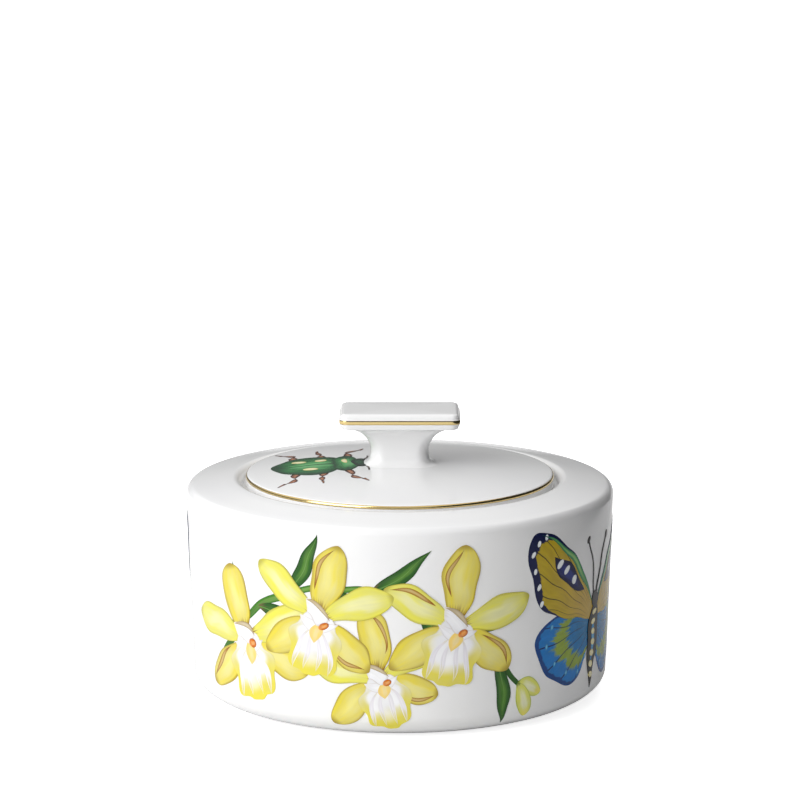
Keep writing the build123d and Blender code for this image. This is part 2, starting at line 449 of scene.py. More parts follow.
# %% Knob
NECK = np.array([14.8, 9.0, 3.4]) / [2, 2, 1]  # half width, half depth, corner radius
GRIP = np.array([30.8, 18.4, 2.2]) / [2, 2, 1]
LIP = GRIP - [0.45, 0.45, 0.0]
BLOCK = GRIP - [0.2, 0.2, 0.2]
NECK_Z, LIP_Z = knob_low[2], 69.9
GOLD_Z = (gold_low[2], gold_high[2])
TOP_Z = knob_high[2]
FLARE, LIP_ROUND, TOP_ROUND, TOP_CROWN = 2.6, 0.4, 1.1, 0.10
GOLD_STEP = 0.15  # height over which the block steps in above the gold line
FOOT_OVERLAP, FOOT_SINK = 0.4, 0.03  # how far the neck's foot runs out over the dome and into it
ARC_STEPS, SIDE_STEPS = 9, 10


def outline(size):
    """Rounded rectangles, one per row of size (half width, half depth, radius), as (rows, n, 2).

    Each corner is a quarter circle about (half width - radius, half depth - radius), and the four
    quarters are joined by straight sides with evenly spaced points.
    """
    size = np.atleast_2d(size)
    quarter = np.linspace(0, pi / 2, ARC_STEPS)
    parts = []
    for k, (sx, sy) in enumerate([(1, 1), (-1, 1), (-1, -1), (1, -1)]):
        angle = quarter + k * pi / 2
        centre = (size[:, :2] - size[:, 2:]) * [sx, sy]
        arc = centre[:, None] + size[:, 2:, None] * np.stack([np.cos(angle), np.sin(angle)], 1)
        parts.append(arc)
    sides = []
    share = np.linspace(0, 1, SIDE_STEPS + 2)[1:-1, None]
    for arc, following in zip(parts, parts[1:] + parts[:1]):
        sides.append(arc)
        sides.append(arc[:, -1:] * (1 - share) + following[:, :1] * share)
    return np.concatenate(sides, axis=1)


def level_rows():
    """The knob's levels from the lid up: (half width, half depth, radius, z), as one array."""
    rise = np.radians(np.linspace(0, 90, 20))[:, None]
    sweep = NECK + (LIP - NECK) * (1 - np.cos(rise))
    sweep = np.concatenate([sweep, NECK_Z + (LIP_Z - NECK_Z) * np.sin(rise)], 1)
    bend = np.radians(np.linspace(-90, 0, 7))[:, None]
    lip = LIP - LIP_ROUND * (1 - np.cos(bend))
    lip = np.concatenate([lip, LIP_Z + LIP_ROUND * (1 + np.sin(bend))], 1)
    edge = np.radians(np.linspace(0, 90, 8))[:, None]
    top = BLOCK - TOP_ROUND * (1 - np.cos(edge))
    top = np.concatenate([top, TOP_Z - TOP_ROUND * (1 - np.sin(edge))], 1)
    shrink = np.linspace(1, 0, 12)[1:-1, None]
    flat = (BLOCK - TOP_ROUND) * shrink
    flat = np.concatenate([flat, TOP_Z + TOP_CROWN * (1 - shrink**2) - 0.001], 1)
    rim = [[*GRIP, GOLD_Z[0]], [*GRIP, GOLD_Z[1]], [*BLOCK, GOLD_Z[1] + GOLD_STEP]]
    return np.concatenate([sweep[:-1], lip, rim, top, flat])


levels = level_rows()
level_outlines = outline(levels[:, :3])
level_z = np.broadcast_to(levels[:, None, 3:], (*level_outlines.shape[:2], 1))
spread = np.linspace(FLARE + FOOT_OVERLAP, 0, 14)[:-1, None]
foot = outline(NECK + spread)
rise = FLARE - np.sqrt(np.clip(FLARE**2 - (FLARE - spread) ** 2, 0, None))
foot_z = dome_z(np.hypot(foot[..., 0], foot[..., 1])) + np.where(spread > FLARE, -FOOT_SINK, rise)
rings = np.concatenate([
    np.concatenate([foot, foot_z[..., None]], 2),
    np.concatenate([level_outlines, level_z], 2),
])
points, faces = close_rings(rings, (0, 0, dome_z(0.0) - 1.0), (0, 0, TOP_Z + TOP_CROWN))
make_piece("knob_skin", points, faces, [KNOB_WHITE], "lid", ["lid_knob"])

# %% [markdown]
# ## The gold lines
# A brushed line stands a few hundredths of a millimetre proud, thicker in its middle than at its
# edges, and on the lid its upper edge wanders a little because a hand laid it. It could be a colour
# on the porcelain, but a bead of its own catches the light along its edges.


# %% Gold lines
BEAD_RISE, BEAD_EDGE, BEAD_SINK = 0.07, 0.012, 0.05
over = np.linspace(0, 1, 9)  # shares of a line's width


def gold_bead(name, path, out, replaced):
    """A closed bead along a ring. path holds the points across the line at each place on the ring.
    At share t of its width the bead stands edge + rise * sin(pi t)^0.5 proud, along out.
    """
    ring, width = path.shape[:2]
    proud = BEAD_RISE * np.sin(pi * over) ** 0.5 + BEAD_EDGE
    top = path + out * proud[None, :, None]
    bottom = path - out * BEAD_SINK
    points = np.concatenate([top.reshape(-1, 3), bottom.reshape(-1, 3)])
    grid = np.arange(ring * width).reshape(ring, width)
    side = np.roll(grid, -1, axis=0)
    lower = ring * width
    upper = np.stack([grid[:, :-1], side[:, :-1], side[:, 1:], grid[:, 1:]], 2).reshape(-1, 4)
    first = np.stack([grid[:, 0] + lower, side[:, 0] + lower, side[:, 0], grid[:, 0]], 1)
    last = np.stack([grid[:, -1], side[:, -1], side[:, -1] + lower, grid[:, -1] + lower], 1)
    faces = [upper, upper[:, ::-1] + lower, first, last]
    uv = np.stack(np.meshgrid(np.linspace(0, 1, ring, endpoint=False), over, indexing="ij"), 2)
    uv = np.tile(uv.reshape(-1, 2), (2, 1))
    return make_piece(name, points, faces, [GOLD], "lid", [replaced], uv=uv)


# round the lid's edge, from a little below its widest place, by an angle that wanders
around = np.linspace(0, 2 * pi, 360, endpoint=False)[:, None]
wander = 2.2 * np.sin(5 * around + 0.6) + 1.4 * np.sin(13 * around)
lean = np.radians(-12 + (60 + wander) * over)
facing = np.stack([np.cos(around) * np.cos(lean), np.sin(around) * np.cos(lean), np.sin(lean)], 2)
centre = np.stack([EDGE_R * np.cos(around), EDGE_R * np.sin(around), np.full_like(around, EDGE_Z)], 2)
gold_bead("lid_gold_line", centre + LID_EDGE_ROUND * facing, facing, "lid_gold_band")

# round the knob's widest level
GOLD_MARGIN = 0.02  # left bare above and below the line
band = outline(GRIP)[0]
along = np.roll(band, -1, axis=0) - np.roll(band, 1, axis=0)
facing = np.stack([along[:, 1], -along[:, 0], np.zeros(len(band))], 1)
facing = (facing / np.linalg.norm(facing, axis=1, keepdims=True))[:, None]
height = GOLD_Z[0] + GOLD_MARGIN + (GOLD_Z[1] - GOLD_Z[0] - 2 * GOLD_MARGIN) * over
path = np.empty((len(band), len(over), 3))
path[..., :2] = band[:, None]
path[..., 2] = height
gold_bead("knob_gold_line", path, facing, "knob_gold_band")

# %% [markdown]
# ## Where the decor lies
# The decor is drawn flat, in millimetres: round is the way round the bowl from its front, up is the
# height on the wall. Two functions lay such a drawing on the wall or on the lid. They return the
# point on the glaze and the direction that faces outwards, so a patch can stand a hair above it. A
# picture wrapped round the wall would do the same, but drawn patches stay sharp however close one is.

# %% Laying a drawing on the wall and on the lid
wall_outline = spaced(OUTSIDE[: BASE_STEPS + 2 * CORNER_STEPS], 0.4)
run = np.concatenate([[0], np.cumsum(np.hypot(*np.diff(wall_outline, axis=0).T))])
roll_end = np.argmax(wall_outline[:, 1] > BASE_ROLL[1] - 1e-6)
run = run - run[roll_end] + BASE_ROLL[1]  # so that up equals height where the wall starts
slope = np.gradient(wall_outline, run, axis=0)
print(f"outline of {len(wall_outline)} points, up from {run[0]:.1f} to {run[-1]:.1f} mm")


def on_wall(flat):
    """(round, up) in mm to a point on the wall, by angle = round / shoulder radius."""
    r, z = (np.interp(flat[..., 1], run, wall_outline[:, k]) for k in (0, 1))
    dr, dz = (np.interp(flat[..., 1], run, slope[:, k]) for k in (0, 1))
    angle = flat[..., 0] / SHOULDER_R
    out = np.stack([np.sin(angle) * dz, -np.cos(angle) * dz, -dr], -1)
    out = out / np.linalg.norm(out, axis=-1, keepdims=True)
    return np.stack([r * np.sin(angle), -r * np.cos(angle), z], -1), out


def on_lid(flat):
    """(x, y) in mm to a point on the dome, facing away from the sphere's centre."""
    z = dome_z(np.hypot(flat[..., 0], flat[..., 1]))
    point = np.concatenate([flat, z[..., None]], -1)
    return point, (point - [0, 0, DOME_CENTRE_Z]) / DOME_R


# %% [markdown]
# ## Brush strokes
# A petal, a leaf, a leg or a spot is one stroke: a centre line with a width that changes along it.
# Each stroke carries two coordinates, along it and across it, which the paint uses for its shading.


# %% Stroke shapes
def bezier(control, s):
    """Bernstein's formula: the sum over k of (n over k) (1 - s)^(n - k) s^k times point k."""
    control = np.array(control, float)
    n = len(control) - 1
    return sum(comb(n, k) * ((1 - s) ** (n - k) * s**k)[:, None] * control[k] for k in range(n + 1))


def stroke(paint, control, half_width, along=24, across=7, ends="round"):
    """A patch about a Bezier centre line; half_width(s) is its half width at each share s. With round
    ends the shares follow (1 - cos) / 2, so both tips have more points and stay smooth.
    """
    share = np.linspace(0, 1, along)
    s = (1 - np.cos(pi * share)) / 2 if ends == "round" else share
    centre = bezier(control, s)
    ahead = np.gradient(centre, s, axis=0)
    left = np.stack([-ahead[:, 1], ahead[:, 0]], 1) / np.hypot(*ahead.T)[:, None]
    t = np.linspace(-1, 1, across)
    flat = centre[:, None] + left[:, None] * (np.maximum(half_width(s), 0.04)[:, None] * t)[..., None]
    return paint, flat, np.stack(np.broadcast_arrays(s[:, None], (t[None] + 1) / 2), -1)


def blade(s, widest, claw, tip, base=0.0):
    """Share of the full width at s. It rises from base to 1 as sin(pi/2 * s/widest)^claw, and from
    there falls as (1 - q^2)^tip, where q runs from 0 to 1. A tip of 0.5 is an ellipse, 1 is pointed.
    """
    rise = base + (1 - base) * np.sin(pi / 2 * np.clip(s / widest, 0, 1)) ** claw
    fall = (1 - np.clip((s - widest) / (1 - widest), 0, 1) ** 2) ** tip
    return np.where(s < widest, rise, fall)


# %% [markdown]
# ## A painter's few marks
# The whole decor needs only petals, lines, leaves, ovals and fans. All but the fans are strokes with
# their own width formula. A wing or an orchid's lip is too wide for one centre line, so it is a fan of
# straight lines from its root, and veins can later follow those lines.


# %% Petals, lines, leaves, ovals and fans
def heading(angle):
    """The direction at an angle in degrees, and the direction to its left."""
    ahead = np.array([cos(radians(angle)), sin(radians(angle))])
    return ahead, np.array([-ahead[1], ahead[0]])


def petal(paint, base, angle, length, width, bend, widest=0.6):
    """A petal from its base, at an angle, bent to its left by a share of its length."""
    ahead, left = heading(angle)
    middle = base + ahead * length / 2 + left * bend * length
    return stroke(
        paint, [base, middle, base + ahead * length],
        lambda s: width / 2 * blade(s, widest, 0.9, 0.62, 0.2), 30, 11,
    )


def line(paint, control, wide, narrow, along=18, across=3):
    """A stem, leg or feeler along a Bezier line, from one width to another."""
    return stroke(paint, control, lambda s: (wide + (narrow - wide) * s) / 2, along, across, "plain")


def leaf(paint, control, width, widest=0.4):
    """A pointed blade, widest part way along."""
    return stroke(paint, control, lambda s: width / 2 * blade(s, widest, 0.8, 1.1), 26, 7)


def spot(paint, centre, angle, length, width):
    """An oval."""
    reach = heading(angle)[0] * length / 2
    return stroke(paint, [centre - reach, centre + reach], lambda s: width * np.sqrt(s * (1 - s)), 14, 5)


def through(points, count):
    """A smooth line through the points, by Catmull and Rom's cubic between each pair."""
    points = np.array(points, float)
    padded = np.concatenate([2 * points[:1] - points[1:2], points, 2 * points[-1:] - points[-2:-1]])
    at = np.linspace(0, len(points) - 1, count)
    k = np.minimum(at.astype(int), len(points) - 2)
    f = (at - k)[:, None]
    a, b, c, d = (padded[k + shift] for shift in range(4))
    return b + f * (c - a) / 2 + f**2 * (a - 2.5 * b + 2 * c - d / 2) + f**3 * (1.5 * (b - c) + (d - a) / 2)


def fan(paint, root, margin, along=16, count=60):
    """A wing or lip: straight lines from its root to a smooth margin. Along runs out, across round."""
    rim = through(margin, count)
    s = np.linspace(0.02, 1, along)[:, None, None]
    flat = root * (1 - s) + rim[None] * s
    across = np.broadcast_to(np.linspace(0, 1, count)[None], (along, count))
    return paint, flat, np.stack([np.broadcast_to(s[..., 0], (along, count)), across], -1)


def drawn_at(centre, size, turn_deg):
    """A function that sets a drawing's own point (x, y) at centre, size times as big and turned."""
    ahead, left = heading(turn_deg)

    def at(x, y):
        return np.array(centre, float) + size * (x * ahead + y * left)

    return at


# %% [markdown]
# ## From strokes to one piece
# All strokes of a motif become one mesh. Each is a thin closed shell that stands a few microns
# higher than the one before, so what is painted later lies on top, and two patches never share one
# surface, which would flicker. Its underside is sunk in the glaze. No light gets under it, and it
# looks printed. The outlines waver a little, as a brush does.


# %% Motif builder
FIRST_LIFT, NEXT_LIFT, SINK = 0.02, 0.004, 0.06
WAVER = 0.3  # how far a hand strays from its line, in mm


def by_hand(flat):
    """Every point moved by up to WAVER along slow sines of its own place, round one way and up."""
    return flat + WAVER * np.sin(flat[..., ::-1] * [0.62, 0.53] + flat * [0.25, -0.31])


def lay_motif(name, strokes, paints, place, body, first_lift=FIRST_LIFT):
    """Joins the strokes into one piece, each with its paint, brush coordinates and a tint."""
    used = sorted({paint for paint, *_ in strokes})
    chance = np.random.default_rng(7)
    all_points, all_faces, all_uv, all_tint, all_paint = [], [], [], [], []
    start = 0
    for order, (paint, flat, brush) in enumerate(strokes):
        along, across = flat.shape[:2]
        i, j = along // 2, across // 2
        step_s, step_t = flat[i, j] - flat[i - 1, j], flat[i, j] - flat[i, j - 1]
        if step_s[0] * step_t[1] < step_s[1] * step_t[0]:
            flat, brush = flat[:, ::-1], brush[:, ::-1]
        point, out = place(by_hand(flat))
        lift = first_lift + NEXT_LIFT * order
        shell = np.concatenate([(point + out * lift).reshape(-1, 3), (point - out * SINK).reshape(-1, 3)])
        size = along * across
        grid = np.arange(size).reshape(along, across) + start
        top = np.stack([grid[:-1, :-1], grid[1:, :-1], grid[1:, 1:], grid[:-1, 1:]], 2).reshape(-1, 4)
        border = np.concatenate([grid[:, 0], grid[-1, 1:], grid[-2::-1, -1], grid[0, -2:0:-1]])
        after = np.roll(border, -1)
        rim = np.stack([border, border + size, after + size, after], 1)
        faces = np.concatenate([top, top[:, ::-1] + size, rim])
        all_points.append(shell)
        all_faces.append(faces)
        all_uv.append(np.tile(brush.reshape(-1, 2), (2, 1)))
        all_tint.append(np.full(2 * size, chance.random()))
        all_paint.append(np.full(len(faces), used.index(paint)))
        start += 2 * size
    return make_piece(
        name, np.concatenate(all_points), all_faces, [paints[p] for p in used], body,
        uv=np.concatenate(all_uv), tint=np.concatenate(all_tint), paint=np.concatenate(all_paint),
    )


# %% [markdown]
# ## Watercolour for ceramic prints
# Botanical prints copy a watercolour: a wash of body colour, a pale band where the paper shows, a
# darker line where the pigment dried at the edge, and fine strokes of a second colour pulled out
# from the base. One group does all of that from the brush coordinates, and each paint sets its
# colours.


# %% Watercolour group
def build_watercolour():
    """Body, Light, Edge, Base and Tip colours mixed by masks of the brush coordinates and noise."""
    colours = [(label, "Color") for label in ("Body", "Light", "Edge", "Base", "Tip")]
    shares = ("Light Share", "Edge Width", "Base Reach", "Tip Reach", "Streaks")
    values = [(label, "Float") for label in shares]
    tree, given, out = new_group("Watercolour", colours + values, [("Color", "Color")])
    put = given.outputs
    brush = add(tree, "ShaderNodeUVMap", uv_map="Brush").outputs[0]
    parts = add(tree, "ShaderNodeSeparateXYZ", {0: brush})
    along, over = parts.outputs[0], parts.outputs[1]
    tint = add(tree, "ShaderNodeAttribute", attribute_name="tint").outputs["Fac"]
    apart = maths(tree, "MULTIPLY", tint, 40.0)  # so that no two strokes share their noise
    place = add(tree, "ShaderNodeCombineXYZ", {0: along, 1: over, 2: apart}).outputs[0]
    long_way = add(tree, "ShaderNodeMapping", {0: place, "Scale": (1.4, 11.0, 1.0)}).outputs[0]
    short_way = add(tree, "ShaderNodeMapping", {0: place, "Scale": (2.2, 3.0, 1.0)}).outputs[0]
    streak = maths(tree, "SUBTRACT", noise(tree, long_way, 1.0, 3.0), 0.5)
    bloom = maths(tree, "SUBTRACT", noise(tree, short_way, 1.0, 2.0), 0.5)
    centre = maths(tree, "ABSOLUTE", maths(tree, "SUBTRACT", over, 0.5))
    # the pale band: near the middle, over the petal's middle length, broken up by both noises
    inside = maths(tree, "SUBTRACT", 0.36, maths(tree, "ADD", centre, maths(tree, "MULTIPLY", bloom, 0.55)))
    pale = maths(tree, "MULTIPLY", smooth(tree, inside, 0.0, 0.3), smooth(tree, along, 0.12, 0.45))
    pale = maths(tree, "MULTIPLY", pale, smooth(tree, along, 1.0, 0.6))
    pale = maths(tree, "MULTIPLY", pale, put["Light Share"])
    tone = mixed(tree, pale, put["Body"], put["Light"])
    # the dried edge: the last share of the width and of the tip
    rim = maths(tree, "ADD", centre, maths(tree, "MULTIPLY", streak, 0.10))
    rim = maths(tree, "MAXIMUM", rim, maths(tree, "SUBTRACT", along, 0.48))
    start = maths(tree, "SUBTRACT", 0.5, put["Edge Width"])
    dried = maths(tree, "MULTIPLY", smooth(tree, rim, start, 0.515), 0.85)
    tone = mixed(tree, dried, tone, put["Edge"])
    # strokes from the base and from the tip, ragged by the streaks
    ragged = maths(tree, "MULTIPLY", streak, put["Streaks"])
    from_base = maths(tree, "ADD", along, ragged)
    near = smooth(tree, from_base, put["Base Reach"], maths(tree, "MULTIPLY", put["Base Reach"], 0.25))
    tone = mixed(tree, near, tone, put["Base"])
    from_tip = maths(tree, "ADD", maths(tree, "SUBTRACT", 1.0, along), maths(tree, "MULTIPLY", bloom, 0.35))
    far = smooth(tree, from_tip, put["Tip Reach"], maths(tree, "MULTIPLY", put["Tip Reach"], 0.3))
    far = maths(tree, "MULTIPLY", far, smooth(tree, centre, 0.46, 0.22))
    tone = mixed(tree, far, tone, put["Tip"])
    # pigment settles unevenly: a slow change of depth over every stroke
    settled = maths(tree, "ADD", maths(tree, "MULTIPLY", bloom, 0.30), maths(tree, "MULTIPLY", streak, 0.14))
    depth = maths(tree, "ADD", settled, 0.98)
    ends = {"Color": tone, "Value": depth, "Saturation": depth}
    tone = add(tree, "ShaderNodeHueSaturation", ends).outputs[0]
    tree.links.new(tone, out.inputs[0])
    return tree


WATERCOLOUR = build_watercolour()


def watercolour(name, body, light, edge, base=None, tip=None, light_share=0.8, edge_width=0.1,
                base_reach=0.0, tip_reach=0.0, streaks=0.3):
    """A glazed paint. Colours are display colours; a reach is the share of the stroke it covers."""
    material, tree, shader, _ = glazed(name, gloss=PRINT_GLOSS)
    wash = add(tree, "ShaderNodeGroup", node_tree=WATERCOLOUR)
    tones = {"Body": body, "Light": light, "Edge": edge, "Base": base or body, "Tip": tip or body}
    for label, tone in tones.items():
        wash.inputs[label].default_value = colour(*tone)
    shares = {
        "Light Share": light_share, "Edge Width": edge_width, "Base Reach": base_reach,
        "Tip Reach": tip_reach, "Streaks": streaks,
    }
    for label, share in shares.items():
        wash.inputs[label].default_value = share
    tree.links.new(wash.outputs[0], shader.inputs["Base Color"])
    return material


PAINTS = {
    "petal": watercolour("Petal yellow", (226, 221, 98), (244, 243, 200), (178, 168, 66), (140, 96, 32),
                         base_reach=0.13, light_share=0.6, edge_width=0.08, streaks=0.26),
    "petal_gold": watercolour("Petal gold", (224, 208, 84), (240, 234, 160), (160, 134, 46), (134, 86, 28),
                              base_reach=0.20, light_share=0.6, edge_width=0.10, streaks=0.34),
    "petal_green": watercolour("Petal lime", (222, 224, 112), (246, 246, 214), (168, 180, 76), (120, 140, 50),
                               (238, 228, 110), base_reach=0.10, tip_reach=0.3),
    "fold": watercolour("Petal fold", (178, 134, 58), (214, 190, 126), (128, 86, 30), (150, 92, 36),
                        base_reach=0.3, edge_width=0.2),
    "lip": watercolour("Lip", (240, 240, 244), (248, 248, 250), (212, 204, 190), (240, 228, 168),
                       (226, 214, 84), base_reach=0.08, tip_reach=0.46, edge_width=0.05, streaks=0.12),
    "lip_white": watercolour("Lip plain", (240, 240, 244), (249, 249, 251), (206, 198, 194), (236, 232, 230),
                             base_reach=0.2, edge_width=0.12),
    "lip_fold": watercolour("Lip fold", (230, 227, 234), (240, 238, 243), (243, 242, 245), (226, 220, 206),
                            (222, 212, 140), base_reach=0.2, tip_reach=0.4, edge_width=0.3),
    "tan": watercolour("Column shade", (186, 168, 134), (212, 198, 168), (150, 128, 96), edge_width=0.16),
    "orange": watercolour("Column tip", (206, 112, 44), (240, 176, 96), (140, 66, 28), (226, 140, 60),
                          base_reach=0.3, edge_width=0.2),
    "blush": watercolour("Lip blush", (242, 210, 120), (248, 236, 190), (240, 214, 150), light_share=0.4),
    "leaf": watercolour("Leaf green", (66, 124, 38), (126, 168, 76), (38, 84, 24), (60, 110, 36),
                        base_reach=0.3, edge_width=0.12, streaks=0.5),
    "leaf_dark": watercolour("Leaf shade", (44, 92, 34), (92, 140, 52), (24, 58, 14), (110, 92, 60),
                             base_reach=0.18, edge_width=0.12, streaks=0.5),
    "vein": watercolour("Leaf vein", (92, 140, 60), (120, 164, 84), (70, 116, 44)),
}

# %% [markdown]
# ## An orchid
# A flower painter learns an orchid once and then turns it about. This one has the plant's own plan:
# three sepals behind, two side petals over them, a ruffled lip that hangs in front, and the white
# column above it. Chance changes each petal's angle, length and bend, so no two blooms are alike.


# %% Orchid parts
SEPALS = [(90, 1.00, 0.52), (216, 0.96, 0.46), (324, 0.96, 0.46)]  # angle, length, width
SIDE_PETALS = [(157, 1.06, 0.44), (23, 1.06, 0.44)]
EDGE_SIDE = 0.34  # where a folded edge lies, as a share of the petal's width from its middle


def whorl(paint, rows, at, size, turn_deg, chance):
    """Petals round a centre, from rows of angle, length and width; some have a folded edge."""
    strokes = []
    for angle, length, width in rows:
        angle = turn_deg + angle + chance.uniform(-8, 8)
        reach, bend = size * length * chance.uniform(0.93, 1.08), chance.uniform(-0.09, 0.09)
        ahead, left = heading(angle)
        base = at(0, 0) + ahead * 0.08 * size
        strokes.append(petal(paint, base, angle, reach, size * width, bend))
        edge = left * size * width * chance.choice([-EDGE_SIDE, EDGE_SIDE])
        low = base + ahead * reach * 0.3 + edge * 0.8
        middle = base + ahead * reach * 0.6 + edge * 1.4 + left * bend * reach
        high = base + ahead * reach * 0.93 + edge * 0.2
        if chance.random() < 0.5:
            strokes.append(leaf("fold", [low, middle, high], size * 0.065, 0.6))
    return strokes


def ruffled_lip(at, size):
    """A hanging apron. Its margin is an oval whose radius waves as 1 + 0.09 sin 7a, with a notch
    below, and folds run down it from a warm throat.
    """
    angle = np.radians(np.linspace(100, 440, 44))
    radius = (1 + 0.09 * np.sin(7 * angle)) * (1 - 0.13 * np.exp(-(((angle - 1.5 * pi) / 0.2) ** 2)))
    margin = [at(0.40 * r * cos(a), -0.40 + 0.46 * r * sin(a)) for r, a in zip(radius, angle)]
    strokes = [fan("lip", at(0.0, -0.10), margin)]
    for side in (-0.30, -0.11, 0.11, 0.30):
        fold = [at(side * 0.3, -0.16), at(side, -0.42), at(side * 0.9, -0.76)]
        strokes.append(leaf("lip_fold", fold, size * 0.08, 0.6))
    strokes.append(leaf("lip_white", [at(-0.28, -0.02), at(0.0, -0.20), at(0.30, -0.02)], size * 0.18, 0.5))
    strokes.append(leaf("blush", [at(0.0, -0.04), at(0.02, -0.16), at(0.0, -0.34)], size * 0.20, 0.5))
    return strokes


def column(at, size):
    """The white column that arches out over the lip, shaded tan on top, with an orange tip."""
    body = [at(-0.20, 0.14), at(-0.04, 0.16), at(0.08, -0.06)]
    return [
        stroke("lip_white", body, lambda s: size * 0.13 * (0.72 + 0.28 * s) * (1 - s**10) ** 0.5, 18, 7),
        leaf("tan", [at(-0.20, 0.22), at(0.04, 0.25), at(0.16, 0.02)], size * 0.07, 0.5),
        spot("orange", at(0.09, -0.07), 20, size * 0.15, size * 0.11),
    ]


def orchid(centre, size, turn_deg, seed):
    """One bloom. size is the length of its top sepal."""
    chance = np.random.default_rng(seed)
    at = drawn_at(centre, size, turn_deg)
    behind = whorl("petal_gold", SEPALS, at, size, turn_deg, chance)
    before = whorl("petal", SIDE_PETALS, at, size, turn_deg, chance)
    return behind + before + ruffled_lip(at, size) + column(at, size)


# %% [markdown]
# ## The spray
# The stem is one arch. Leaves leave it at even shares of its length, left and right in turn, and
# buds close its end. The blooms stand high and low along it. Neighbours overlap, so every second
# bloom is laid on a higher level than the others.

# %% Spray
STEM = np.array([(-57.0, 9.0), (-42.0, 46.0), (4.0, 51.0), (32.0, 13.0)])
STEM_WIDTH = (2.2, 1.4)
LEAF_SHARES = np.linspace(0.05, 0.93, 9)
LEAF_LONG, LEAF_WIDE, LEAF_TURN, LEAF_BOW = 18.0, 4.2, 44, 1.6
BUDS = [(-20, 8.0), (-72, 9.0)]  # angle and length
BLOOMS = [  # round, up, size and turn
    (-43.0, 23.0, 19.0, 12), (-21.0, 31.0, 18.0, -10), (-5.0, 16.5, 16.0, 14), (14.5, 29.5, 18.5, -12)
]
BACK = 128.0  # how far round the mirrored spray is moved
LEVELS = (0.10, 0.19)  # lifts of the lower and the upper blooms, in mm


def greenery():
    """The stem, its leaves with pale midribs, and two buds at its end."""
    strokes = [line("leaf", STEM, *STEM_WIDTH, along=150, across=5)]
    joints = bezier(STEM, LEAF_SHARES)
    ways = np.degrees(np.arctan2(*np.gradient(joints, axis=0).T[::-1]))
    for k, (joint, way) in enumerate(zip(joints, ways)):
        side = 1 if k % 2 else -1
        ahead, left = heading(way + side * LEAF_TURN)
        middle = joint + ahead * LEAF_LONG / 2 - left * side * LEAF_BOW
        midrib = [joint, middle, joint + ahead * LEAF_LONG]
        strokes.append(leaf("leaf_dark", midrib, LEAF_WIDE))
        strokes.append(line("vein", midrib, 0.35, 0.08))
    for angle, length in BUDS:
        strokes.append(petal("petal_green", STEM[-1], angle, length, 4.6, 0.04, 0.5))
    return strokes


def turned_over(strokes, across):
    """The same strokes mirrored and moved round the bowl."""
    return [(paint, flat * [-1.0, 1.0] + [across, 0.0], brush) for paint, flat, brush in strokes]


spray = {"stem": (greenery(), FIRST_LIFT)}
for k, (across, up, size, turn_deg) in enumerate(BLOOMS):
    spray[f"bloom_{k + 1}"] = (orchid((across, up), size, turn_deg, 10 + k), LEVELS[k % 2])
for name, (strokes, lift) in spray.items():
    lay_motif(f"spray_{name}", strokes, PAINTS, on_wall, "bowl", lift)
    back = turned_over(strokes, BACK)
    lay_motif(f"back_{name}", back, PAINTS, on_wall, "bowl", lift)

# %% [markdown]
# ## Insect paints
# Insects are printed with harder edges and stronger contrast than the flowers. Veins and border could
# be strokes, but they follow the wing's own two directions, so the paint works them out: veins from
# the root to the margin, and a dark border along it. The rest of the insect uses the flowers' wash.


# %% Wing paint
def wing_paint(name, inner, outer, border, vein, border_width, band=None, vein_count=7.0):
    """Colour along the wing from inner to outer, veins across it as sin^2 lines, then the border."""
    material, tree, shader, _ = glazed(name, gloss=PRINT_GLOSS)
    brush = add(tree, "ShaderNodeUVMap", uv_map="Brush").outputs[0]
    parts = add(tree, "ShaderNodeSeparateXYZ", {0: brush})
    along, over = parts.outputs[0], parts.outputs[1]
    fine = add(tree, "ShaderNodeMapping", {0: brush, "Scale": (5.0, 26.0, 1.0)}).outputs[0]
    fleck = maths(tree, "SUBTRACT", noise(tree, fine, 1.0, 3.0), 0.5)
    drift = maths(tree, "ADD", along, maths(tree, "MULTIPLY", fleck, 0.30))
    tone = mixed(tree, smooth(tree, drift, 0.15, 0.85), colour(*inner), colour(*outer))
    if band:
        rise = smooth(tree, drift, 0.50, 0.58)
        fall = smooth(tree, drift, 0.78, 0.70)
        tone = mixed(tree, maths(tree, "MULTIPLY", rise, fall), tone, colour(*band))
    swing = maths(tree, "MULTIPLY", over, pi * vein_count)
    line_up = maths(tree, "POWER", maths(tree, "ABSOLUTE", maths(tree, "SINE", swing)), 0.5)
    thread = smooth(tree, line_up, 0.42, 0.22)
    tone = mixed(tree, maths(tree, "MULTIPLY", thread, smooth(tree, along, 0.1, 0.3)), tone, colour(*vein))
    ragged = maths(tree, "ADD", along, maths(tree, "MULTIPLY", fleck, 0.10))
    edge = smooth(tree, ragged, 0.99 - border_width, 1.01 - border_width)
    tone = mixed(tree, edge, tone, colour(*border))
    depth = maths(tree, "ADD", maths(tree, "MULTIPLY", fleck, 0.6), 1.0)
    tone = add(tree, "ShaderNodeHueSaturation", {"Color": tone, "Value": depth}).outputs[0]
    tree.links.new(tone, shader.inputs["Base Color"])
    return material


